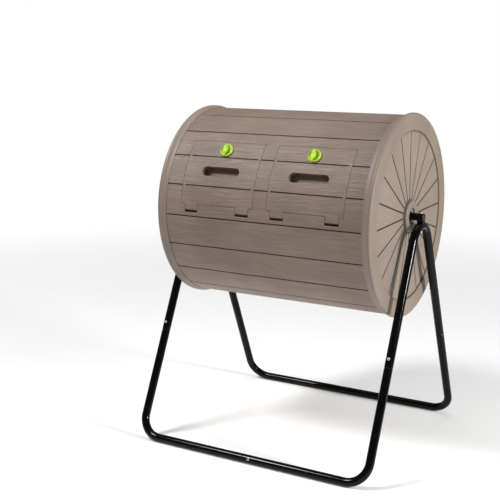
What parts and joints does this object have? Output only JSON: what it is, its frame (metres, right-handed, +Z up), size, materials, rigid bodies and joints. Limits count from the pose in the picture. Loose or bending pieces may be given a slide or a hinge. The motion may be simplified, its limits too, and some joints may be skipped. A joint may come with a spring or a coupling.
{
  "type": "compost tumbler",
  "caption": "Two-chamber compost drum of moulded planks with front doors and latch knobs, turning on a fixed axle carried by bent tube frames.",
  "frame": {"origin": "on the ground midway between the four legs, under the middle of the axle", "axes": "+X along the axle towards the right end seen from the doors, -Y towards the doors, +Z up"},
  "size_m": [0.78, 0.7324, 1.013],
  "materials": {
    "stand_tube": "glossy black powder coat on round steel tube",
    "axle_paint": "satin black paint on a steel tube",
    "plug_plastic": "black moulded plastic",
    "saddle_paint": "black coated pressed steel",
    "plated_steel": "zinc plated fasteners",
    "drum_plastic": "taupe-brown moulded plastic with an embossed wood grain",
    "cap_plastic": "taupe-brown moulded plastic, plain satin rim and a grained face",
    "bushing_plastic": "black bearing plastic",
    "inner_plastic": "dark brown moulded plastic",
    "pin_steel": "plain drawn steel rod",
    "knob_plastic": "bright lime green moulded plastic"
  },
  "bodies": {
    "stand": {"a_frame_left": "stand_tube", "a_frame_right": "stand_tube", "base_front_left": "stand_tube", "base_front_right": "stand_tube", "base_rear_left": "stand_tube", "base_rear_right": "stand_tube", "axle_tube": "axle_paint", "axle_plug_left": "plug_plastic", "axle_plug_right": "plug_plastic", "axle_saddle_left": "saddle_paint", "axle_saddle_right": "saddle_paint", "axle_bolts": "plated_steel", "axle_nuts": "plated_steel", "leg_buttons": "plated_steel", "base_buttons": "plated_steel"},
    "drum": {"end_cap_left": "cap_plastic", "end_cap_right": "cap_plastic", "hub_bushing_left": "bushing_plastic", "hub_bushing_right": "bushing_plastic", "door_panel": "drum_plastic", "shell_panel_top": "drum_plastic", "shell_panel_back": "drum_plastic", "shell_panel_bottom": "drum_plastic", "shell_panel_front": "drum_plastic", "chamber_divider": "inner_plastic", "hinge_pin_left": "pin_steel", "hinge_pin_right": "pin_steel", "seam_screws": "plated_steel", "cap_screws_left": "plated_steel", "cap_screws_right": "plated_steel"},
    "door_left": {"door_left": "drum_plastic"},
    "knob_left": {"knob_left": "knob_plastic", "latch_cam_left": "knob_plastic", "latch_screw_left": "plated_steel"},
    "door_right": {"door_right": "drum_plastic"},
    "knob_right": {"knob_right": "knob_plastic", "latch_cam_right": "knob_plastic", "latch_screw_right": "plated_steel"}
  },
  "joints": [
    {"name": "drum_spin", "type": "hinge", "parent": "stand", "child": "drum", "pos_m": [0, 0, 0.713], "axis": [1, 0, 0], "continuous": true},
    {"name": "door_left_hinge", "type": "hinge", "parent": "drum", "child": "door_left", "pos_m": [-0.143, -0.28523, 0.72545], "axis": [1, 0, 0], "range_deg": [0, 105]},
    {"name": "knob_left_turn", "type": "hinge", "parent": "door_left", "child": "knob_left", "pos_m": [-0.143, -0.21913, 0.8873], "axis": [0, -0.7826, 0.6225], "range_deg": [0, 90]},
    {"name": "door_right_hinge", "type": "hinge", "parent": "drum", "child": "door_right", "pos_m": [0.143, -0.28523, 0.72545], "axis": [1, 0, 0], "range_deg": [0, 105]},
    {"name": "knob_right_turn", "type": "hinge", "parent": "door_right", "child": "knob_right", "pos_m": [0.143, -0.21913, 0.8873], "axis": [0, -0.7826, 0.6225], "range_deg": [0, 90]}
  ]
}
